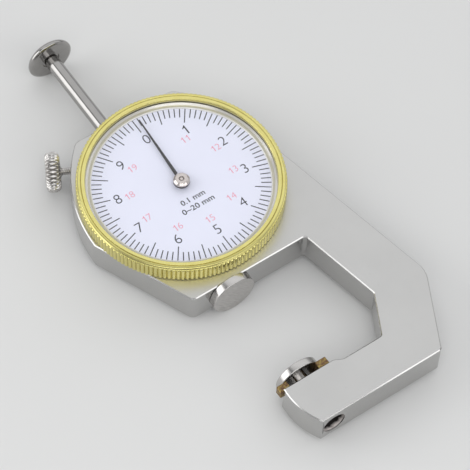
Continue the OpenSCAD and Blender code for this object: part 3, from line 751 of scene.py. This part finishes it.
def clear_crystal(edge):
    """Clear crystal: it shows what lies under it, its gloss grows with the fifth power of the slant, and
    its flange outside the radius edge is ground"""
    f = Finish("clear_crystal")
    clear = f.node("BsdfTransparent", Color=(0.99, 0.99, 0.995))
    gloss = f.node("BsdfGlossy", Color=(1, 1, 1), Roughness=0.03)
    slant = f.node("LayerWeight", output="Facing", Blend=0.5)
    glass = f.layers(0.02 + 0.6 * slant**5, clear, gloss)
    ground = f.node("BsdfDiffuse", Color=(0.62, 0.6, 0.46))
    flange = f.ramp(f.far(), edge, edge + 0.02 * MM)
    return f.end(f.layers(flange, glass, ground))


def pale_floor(colours):
    """Plain matt floor with the faintest mottle"""
    f = Finish("pale_floor")
    mottle = f.noise(30, 2)
    return f.surface(Base_Color=f.blend(mottle, tint(colours.floor, 0.985), colours.floor), Roughness=0.85)


def studio_light():
    """Light tent: bright beyond the dial, about half as bright overhead and in front, with a darker band
    round the horizon and a dark gap beside the left window, which give polished metal its contrast"""
    f = Finish("studio", bpy.data.worlds, "Generated")
    across, along, height = f.parts(f.place)
    beyond = 0.56 + 0.5 * f.ramp(0.56 * across + 0.83 * along, -0.05, 0.42)
    horizon = 0.35 + 0.65 * f.ramp(height, 0.08, 0.36)
    gap = 1 - 0.7 * f.band(across, -0.5, -0.36, 0.06)
    shade = f.blend(horizon * beyond * gap, (0, 0, 0), (0.98, 0.99, 1.0))
    return f.end(f.node("Background", Color=shade), "OutputWorld")


# Pieces


def chosen(context):
    """The sizes and the colours that are set in the scene"""
    return context.scene.gauge_sizes, context.scene.gauge_colours


class GAUGE_OT_frame(bpy.types.Operator):
    """Adds the satin frame with its edges broken"""

    bl_idname = "gauge.frame"
    bl_label = "Frame"

    def execute(self, context):
        sizes, colours = chosen(context)
        faces = BOX["frame"][:, 2]
        pocket = BOX["dial_seat_ring"][1][0] - 1.5 * MM

        def rim(a, b):
            """Edges in the front or back face, clear of the pocket and the screws under the bezel"""
            flat = [np.maximum(np.abs(a[:, 2] - z), np.abs(b[:, 2] - z)) < CAD_WELD for z in faces]
            clear = [np.hypot(end[:, 0], end[:, 1]) > pocket for end in (a, b)]
            return np.any(flat, 0) & np.all(clear, 0)

        mesh = border_flats(node_copy("frame"), 1.6 * sizes.edge_break)
        mesh = break_edges(mesh, sizes.edge_break, rim)
        piece("frame_plate", mesh, "frame", satin_nickel(colours), ["frame"], crease=25)
        return {"FINISHED"}


class GAUGE_OT_bezel(bpy.types.Operator):
    """Adds the knurled bezel"""

    bl_idname = "gauge.bezel"
    bl_label = "Bezel"

    def execute(self, context):
        sizes, colours = chosen(context)
        low, high = BOX["bezel"]
        tip, foot, top = high[0], low[2], high[2]
        depth, steps = sizes.bezel_ridge, 10 * sizes.bezel_ridges
        root, bore = tip - depth, tip - 0.8 * MM
        window, lip = bore - 1 * MM, top - 0.65 * MM
        band, land = top - 0.45 * MM, root - 0.85 * MM
        clip = BOX["bezel_clip"][:, 2].mean()
        seat, play = bore + 0.25 * MM, 0.35 * MM
        outline = [
            (bore, foot, 0),
            (tip - 0.12 * MM, foot, 0.05),
            (tip, foot + 0.14 * MM, 0.05),
            (tip, band - 0.16 * MM, 0.05),
            (tip - 0.14 * MM, band, 0.05),
            (root - 0.06 * MM, band + 0.02 * MM, 0.03),
            (land + 0.65 * MM, top - 0.2 * MM, 0.06),
            (land + 0.2 * MM, top - 0.05 * MM, 0.05),
            (land + 0.14 * MM, top - 0.22 * MM, 0.02),
            (land + 0.06 * MM, top - 0.22 * MM, 0.02),
            (land, top - 0.02 * MM, 0.05),
            ((land + window) / 2, top, 0.2),
            (window, top - 0.03 * MM, 0.12),
            (window, lip, 0.05),
            (bore, lip, 0),
            (bore, clip + play, 0),
            (seat, clip + play, 0),
            (seat, clip - play, 0),
            (bore, clip - play, 0),
        ]

        def ridges(t, r, h):
            """Radius lost to the knurl: grooves between flat tops, full on the band, none at the root"""
            saw = np.abs((t * sizes.bezel_ridges / (2 * pi)) % 1 * 2 - 1)
            return depth * np.clip((saw - 0.45) / 0.5, 0, 1) * np.clip((r - root) / depth, 0, 1)

        mesh = turned("bezel_ring", eased(outline, 3), steps, cut=ridges, depth=depth, wrap=True)
        piece("bezel_ring", mesh, "bezel", gold_brass(colours, land), ["bezel"], crease=50)
        return {"FINISHED"}


class GAUGE_OT_dial(bpy.types.Operator):
    """Adds the dial's finish and printing, and the ring round it"""

    bl_idname = "gauge.dial"
    bl_label = "Dial"

    def execute(self, context):
        sizes, colours = chosen(context)
        finish_node("dial_plate", dial_white(colours))
        level = BOX["dial_plate"][1][2]
        black, red = ink("black_ink", colours.black), ink("red_ink", colours.red)
        piece("dial_ticks", self.ticks(sizes, level), "bezel", black)

        first = round_dial(range(FIGURES), 12.8 * MM, 12.3 * MM)
        mesh = numerals("dial_numerals", first, level, sizes.numeral, sizes.ink)
        piece("dial_numerals", mesh, "bezel", black)

        again = round_dial(range(FIGURES + 1, 2 * FIGURES), 10.5 * MM, 9.8 * MM, 0.15 * MM, 0.2 * MM)
        mesh = numerals("dial_second_turn", again, level, sizes.second, sizes.ink)
        piece("dial_second_turn", mesh, "bezel", red)

        mesh = self.legend(sizes, level)
        piece("dial_legend", mesh, "bezel", black)
        self.rehaut()
        return {"FINISHED"}

    def ticks(self, sizes, level):
        """Bars along the dial's radii, which end on one circle. Every fifth is long."""
        number = np.arange(DIVISIONS)
        turn = number * 2 * pi / DIVISIONS
        out = np.stack([np.sin(turn), np.cos(turn)], 1)
        half = np.where(number % 5 == 0, sizes.tick_long, sizes.tick_short) / 2
        centre, across = out * (sizes.tick_end - half)[:, None], out[:, ::-1] * [-1, 1]
        return bars("dial_ticks", centre, out, across, half, sizes.tick_width / 2, level, level + sizes.ink)

    def legend(self, sizes, level):
        """Two lines of bold text, each with its height on the dial and its width"""
        bold, parts = 0.012, []
        for text, y, wide in (("0.1 mm", -3.85 * MM, 5.3 * MM), ("0~20 mm", -5.75 * MM, 7.1 * MM)):
            parts.append(fit(word_mesh("legend", text, bold), 0, y, level, sizes.legend, wide))
        return printing("dial_legend", parts, sizes.ink)

    def rehaut(self):
        """Ring round the dial: a ledge with a rounded nose, and a wall that slopes up to the crystal"""
        low, high = BOX["rehaut_ring"]
        rim, inner, mouth = high[0], high[0] - 2.15 * MM, high[0] - 1.05 * MM
        ledge, nose = low[2] + 0.3 * MM, 0.08 * MM
        outline = [
            (inner, low[2], 0),
            (rim, low[2], 0),
            (rim, high[2], 0),
            (mouth, high[2], 0.04),
            (mouth - 1.6 * (high[2] - ledge), ledge, 0.04),
            (inner + nose, ledge, 0.03),
            (inner, ledge - nose, 0),
        ]
        mesh = turned("rehaut", eased(outline), 256, wrap=True)
        piece("rehaut", mesh, "bezel", wall_steel(inner), ["rehaut_ring"])


class GAUGE_OT_pointer(bpy.types.Operator):
    """Adds the pointer and its hub"""

    bl_idname = "gauge.pointer"
    bl_label = "Pointer"

    def execute(self, context):
        sizes, colours = chosen(context)
        mesh = break_edges(node_copy("pointer_hand"), sizes.hand_break)
        dark = pointer_dark(colours)
        piece("pointer_blade", mesh, "pointer", dark, ["pointer_hand"], crease=25)

        low, high = BOX["pointer_hub"]
        r, top, foot = high[0], high[2], low[2]
        waist, arbor = BOX["pointer_hand"][1][2], BOX["pinion_arbor"][1][2]
        sleeve, roof, sunk = 0.52 * MM, arbor + 0.01 * MM, top - 0.18 * MM
        outline = [
            (0, top - 0.03 * MM, 0),
            (0.26 * MM, top - 0.04 * MM, 0.05),
            (0.36 * MM, sunk, 0.03),
            (0.46 * MM, sunk, 0.03),
            (0.56 * MM, top, 0.05),
            (r - 0.5 * MM, top, 0.08),
            (r - 0.06 * MM, top - 0.36 * MM, 0.06),
            (r, top - 0.52 * MM, 0.05),
            (r, waist, 0.1),
            (r / 2, waist, 0),
            (r / 2, foot, 0),
            (sleeve, foot, 0),
            (sleeve, roof, 0),
            (0, roof, 0),
        ]
        mesh = turned("pointer_boss", eased(outline), 96)
        piece("pointer_boss", mesh, "pointer", hub_steel(top), ["pointer_hub"])
        return {"FINISHED"}


class GAUGE_OT_crystal(bpy.types.Operator):
    """Adds the domed crystal"""

    bl_idname = "gauge.crystal"
    bl_label = "Crystal"

    def execute(self, context):
        low, high = BOX["crystal"]
        rim, under, top = high[0], low[2], high[2]
        thick, foot = 0.45 * MM, rim - 1.1 * MM
        dome = top - under - thick
        ball = (foot**2 + dome**2) / (2 * dome)
        r = np.linspace(0, foot, 24)
        rise = np.sqrt(ball**2 - r**2) - ball + dome
        lower, upper = (np.stack([r, base + rise], 1) for base in (under, under + thick))
        flange = [(rim, under + thick), (rim, under)]
        mesh = turned("crystal_dome", np.concatenate([upper, flange, lower[::-1]]), 192)
        piece("crystal_dome", mesh, "bezel", clear_crystal(foot + 0.03 * MM), ["crystal"])
        return {"FINISHED"}


class GAUGE_OT_spindle(bpy.types.Operator):
    """Adds the spindle with its lifting cap and contact disc"""

    bl_idname = "gauge.spindle"
    bl_label = "Spindle"

    def execute(self, context):
        colours = context.scene.gauge_colours
        steel = polished_steel("spindle_steel", colours.spindle, 0.07)
        finish_node("rack_strip", steel)
        piece("spindle_bar", self.bar(rod_axis()), "spindle", steel, ["spindle_rod"])
        round_piece("cap_disc", self.cap(rod_axis()), "spindle", steel, "lifting_cap")
        round_piece("contact_foot", self.contact(), "spindle", ground_steel(colours), "contact_disc")
        return {"FINISHED"}

    def bar(self, axis):
        """Round bar with a slot for the rack strip along it"""
        low, high = BOX["spindle_rod"]
        rack = BOX["rack_strip"]
        floor, half = rack[0][0] - axis[0], (rack[1][2] - rack[0][2]) / 2
        start, end, hair = rack[0][1], rack[1][1], 0.01 * MM
        radius = (high[2] - low[2]) / 2
        steps = [low[1], start - hair, start, end, end + hair, high[1]]
        profile = [(0, low[1]), *((radius, y) for y in steps), (0, high[1])]

        def slot(t, r, h):
            """Radius lost to the rack's slot, down to a flat floor, where angle and height lie within it"""
            round_it = (np.sin(t) > 0) & (np.abs(r * np.cos(t)) < half) & (r > 0)
            along_it = (h >= start) & (h <= end)
            return np.where(round_it & along_it, r - floor / np.maximum(np.sin(t), 0.1), 0)

        return turned("spindle_bar", profile, 120, ALONG_Y, axis, slot)

    def cap(self, axis):
        """Outline of the lifting cap, which is hollow below the end of the rod"""
        low, high = BOX["lifting_cap"]
        r, near, far = axis[2] - low[2], low[1], high[1]
        rod_side, rod_end = BOX["spindle_rod"][1][:2]
        bore = rod_side - axis[0] + 0.42 * MM
        return [
            (0, rod_end, 0),
            (bore, rod_end, 0),
            (bore, near, 0.1),
            (r - 0.55 * MM, near, 0.2),
            (r, near + 0.3 * MM, 0.18),
            (r, far - 0.6 * MM, 0.25),
            (r - 0.35 * MM, far - 0.12 * MM, 0.25),
            (r - 0.7 * MM, far, 0.3),
            (0, far, 0),
        ]

    def contact(self):
        """Outline of the contact disc, which reaches up to the lower bush less a small gap"""
        low, high = BOX["contact_disc"]
        r, near, bevel = (high[0] - low[0]) / 2, low[1], 0.12 * MM
        far = BOX["lower_guide_bush"][0][1] - 0.05 * MM
        return [(0, near, 0), (r, near, 0.15), (r, far - bevel, 0.06), (r - bevel, far, 0.06), (0, far, 0)]


class GAUGE_OT_anvil(bpy.types.Operator):
    """Adds the anvil and its brass packing, and gives its screw a finish"""

    bl_idname = "gauge.anvil"
    bl_label = "Anvil"

    def execute(self, context):
        sizes, colours = chosen(context)
        low, high = BOX["anvil"]
        r, foot, face = (high[0] - low[0]) / 2, low[1], high[1]
        back = BOX["anvil_shim"][1][1]
        stud, hole, roof = 1.5 * MM, 0.92 * MM, foot + 4 * MM
        outline = [
            (0, roof, 0),
            (hole, roof, 0),
            (hole, foot, 0),
            (stud, foot, 0),
            (stud, back, 0),
            (r, back, 0.2),
            (r, face, 0.22),
            (0, face, 0),
        ]
        steel = polished_steel("anvil_steel", colours.steel, 0.16)
        round_piece("anvil_foot", outline, "frame", steel, "anvil")

        mesh = break_edges(self.packing(), sizes.small_break)
        brass = stained_brass(colours)
        piece("brass_packing", mesh, "frame", brass, ["anvil_shim"], crease=25)
        finish_node("anvil_screw", plain_metal("screw_steel", (0.5, 0.47, 0.45), 0.2))
        return {"FINISHED"}

    def packing(self):
        """The two packing pieces: the left one is cut short behind, the right one stands forward"""
        mesh = node_copy("anvil_shim")
        low, high = BOX["anvil_shim"][:, 2]
        points = places(mesh)
        right, front = points[:, 0] > rod_axis()[0], points[:, 2] > (low + high) / 2
        points[~right & ~front, 2] = high - 2.1 * MM
        points[right & front, 2] = BOX["frame"][1][2] - 0.35 * MM
        mesh.vertices.foreach_set("co", points.ravel())
        return mesh


class GAUGE_OT_lock_screw(bpy.types.Operator):
    """Adds the knurled lock screw"""

    bl_idname = "gauge.lock_screw"
    bl_label = "Lock screw"

    def execute(self, context):
        sizes, colours = chosen(context)
        joint = JOINTS["lock_turn"]
        axis, origin = np.array(joint["axis"]), np.array(joint["pos_m"])
        axis = axis / np.linalg.norm(axis)
        up = np.array([0, 0, 1.0])
        basis = (np.cross(up, axis), up, axis)
        low, high = BOX["lock_screw"]
        head, half, shank, tip = (high[2] - low[2]) / 2, 1.5 * MM, 0.75 * MM, 0.5 * MM
        end = (high[0] - origin[0] - tip * abs(axis[1])) / axis[0]
        depth, steps = sizes.lock_ridge, 12 * sizes.lock_ridges
        lean, pitch, thread = 2.8 * MM, 0.4 * MM, 0.14 * MM

        def ridges(t, r, h):
            """Radius lost to the knurl and the thread. The knurl is the deeper of two saws of the angle,
            which lean opposite ways along the axis and so leave diamonds, and it fades towards the head's
            two faces. The thread is a saw of the angle and the height together."""
            turns = t * sizes.lock_ridges / (2 * pi)
            saws = [np.abs((turns + k * h / lean) % 1 * 2 - 1) for k in (-1, 1)]
            knurl = depth * np.maximum(*saws) ** 3 * np.clip((r - (head - 1.1 * MM)) / (0.6 * MM), 0, 1)
            coil = np.abs((h / pitch + t / (2 * pi)) % 1 * 2 - 1)
            return knurl + thread * coil * (np.abs(r - shank) < GRID_WELD)

        profile = self.profile(head, half, shank, tip, end)
        mesh = turned("lock_knob", profile, steps, basis, origin, ridges, depth)
        steel = knurled_steel(colours)
        piece("lock_knob", mesh, "lock_screw", steel, ["lock_screw"], crease=60)
        return {"FINISHED"}

    def profile(self, head, half, shank, tip, end):
        """Profile of a head of a radius and half a length, and of a shank and a tip of their radii up to
        the end, with rows along its outer wall that are close enough for the knurl and the thread"""
        dish = 0.12 * MM - half
        outline = [
            (0, dish, 0),
            (1.5 * MM, dish, 0.2),
            (2.2 * MM, -half, 0.2),
            (head - 0.8 * MM, -half, 0.3),
            (head - 0.12 * MM, 0.5 * MM - half, 0.25),
            (head, 0.9 * MM - half, 0.3),
            (head, half - 0.9 * MM, 0.3),
            (head - 0.12 * MM, half - 0.5 * MM, 0.25),
            (head - 0.8 * MM, half, 0.3),
            (1.35 * MM, half, 0.2),
            (shank, half + 0.3 * MM, 0.1),
            (shank, end - 3.2 * MM, 0),
            (tip, end - 2.9 * MM, 0),
            (tip, end, 0.05),
            (0, end, 0),
        ]
        rough = eased(outline, 5)
        radius, height = rough.T
        outer = np.flatnonzero(height == height.min())[-1]
        head_rows, thread_rows = np.linspace(-half, half, 25), np.arange(half, end, 0.08 * MM)
        rows = np.unique(np.concatenate([height, head_rows, thread_rows]))
        wall = np.stack([np.interp(rows, height[outer:-1], radius[outer:-1]), rows], 1)
        return np.concatenate([rough[:outer], wall, rough[-1:]])


class GAUGE_OT_movement(bpy.types.Operator):
    """Adds the return spring and finishes the other inner pieces"""

    bl_idname = "gauge.movement"
    bl_label = "Movement"

    def execute(self, context):
        colours = context.scene.gauge_colours
        finishes = {
            "movement_brass": plain_metal("movement_brass", colours.brass, 0.26),
            "plain_steel": plain_metal("plain_steel", (0.5, 0.5, 0.51), 0.3),
            "spring_steel": plain_metal("spring_steel", (0.42, 0.43, 0.47), 0.24),
            "satin_nickel": plain_metal("seat_nickel", colours.nickel, 0.34),
            "polished_steel": plain_metal("inner_steel", colours.steel, 0.18),
        }
        coil, steel = node_copy("return_spring"), finishes["spring_steel"]
        spring = piece("return_coil", coil, "frame", steel, ["return_spring"], crease=60)
        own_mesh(spring)

        dressed = {"rack_strip", "dial_plate", "anvil_screw"}
        for name, obj in frame["nodes"].items():
            if not obj.hide_render and name not in dressed:
                finish_node(name, finishes[obj.material_slots[0].material.name.split(".")[0]])
        return {"FINISHED"}


class GAUGE_OT_stage(bpy.types.Operator):
    """Adds the floor, the lights and the camera"""

    bl_idname = "gauge.stage"
    bl_label = "Stage"

    def execute(self, context):
        scene = context.scene
        scene.view_settings.view_transform = "Standard"
        level, reach = CAD_BOX[0][2] - 0.02 * MM, (-1.5, 1.5)
        mesh = bpy.data.meshes.new("floor")
        mesh.from_pydata([(x, y, level) for x in reach for y in reach], [], [(0, 2, 3, 1)])
        mesh.materials.append(pale_floor(scene.gauge_colours))
        floor = bpy.data.objects.new("floor", mesh)
        scene.collection.objects.link(floor)

        scene.world = studio_light()
        for name, (place, width, power) in LAMPS.items():
            light = bpy.data.lights.new(name, "AREA")
            light.size, light.energy = width, power
            lamp = bpy.data.objects.new(name, light)
            lamp.location = place
            lamp.rotation_euler = (-Vector(place)).to_track_quat("-Z", "Y").to_euler()
            scene.collection.objects.link(lamp)
        self.camera(scene, scene.gauge_view)
        return {"FINISHED"}

    def camera(self, scene, view):
        """Camera whose axes are a turn about the dial's axis, then a tilt to its elevation, then a roll.
        The dial's centre stands at the aim's distances from the view's centre, and the picture is shifted
        by half a pixel each way."""
        ca, sa, ce, se = cos(view.azimuth), sin(view.azimuth), cos(view.elevation), sin(view.elevation)
        cr, sr = cos(view.roll), sin(view.roll)
        turn = np.array([[ca, -sa, 0], [sa, ca, 0], [0, 0, 1]])
        tilt = np.array([[1, 0, 0], [0, -se, -ce], [0, ce, -se]])
        roll = np.array([[cr, -sr, 0], [sr, cr, 0], [0, 0, 1]])
        right, down, ahead = axes = roll @ tilt @ turn
        centre = np.array([0, 0, BOX["dial_plate"][1][2]])
        place = centre - axes.T @ np.array([view.aim_x, view.aim_y, view.distance])
        lens = bpy.data.cameras.new("camera")
        lens.sensor_width = SENSOR
        lens.lens = view.focal / IMAGE * SENSOR
        lens.shift_x, lens.shift_y = -0.5 / IMAGE, 0.5 / IMAGE
        lens.clip_start = 0.01
        obj = bpy.data.objects.new("camera", lens)
        spin = Matrix(np.stack([right, -down, -ahead], 1).tolist())
        obj.matrix_world = Matrix.Translation(Vector(place)) @ spin.to_4x4()
        scene.collection.objects.link(obj)
        scene.camera = obj


class GAUGE_PT_panel(bpy.types.Panel):
    """Lists the gauge's pieces, sizes and colours"""

    bl_idname = "GAUGE_PT_panel"
    bl_label = "Dial thickness gauge"
    bl_space_type = "VIEW_3D"
    bl_region_type = "UI"
    bl_category = "Gauge"

    def draw(self, context):
        for operator in PIECES:
            self.layout.operator(operator.bl_idname)
        for group in (context.scene.gauge_sizes, context.scene.gauge_colours, context.scene.gauge_view):
            column = self.layout.column(align=True)
            for key in group.__annotations__:
                column.prop(group, key)


PIECES = (
    GAUGE_OT_frame,
    GAUGE_OT_bezel,
    GAUGE_OT_dial,
    GAUGE_OT_pointer,
    GAUGE_OT_crystal,
    GAUGE_OT_spindle,
    GAUGE_OT_anvil,
    GAUGE_OT_lock_screw,
    GAUGE_OT_movement,
    GAUGE_OT_stage,
)
GROUPS = {"gauge_sizes": GaugeSizes, "gauge_colours": GaugeColours, "gauge_view": GaugeView}


def register():
    for cls in (*GROUPS.values(), *PIECES, GAUGE_PT_panel):
        bpy.utils.register_class(cls)
    for name, cls in GROUPS.items():
        setattr(bpy.types.Scene, name, PointerProperty(type=cls))


def unregister():
    for name in GROUPS:
        delattr(bpy.types.Scene, name)
    for cls in (GAUGE_PT_panel, *reversed(PIECES), *GROUPS.values()):
        bpy.utils.unregister_class(cls)


def main():
    register()
    for operator in PIECES:
        group, name = operator.bl_idname.split(".")
        getattr(getattr(bpy.ops, group), name)()


if __name__ == "__main__":
    main()
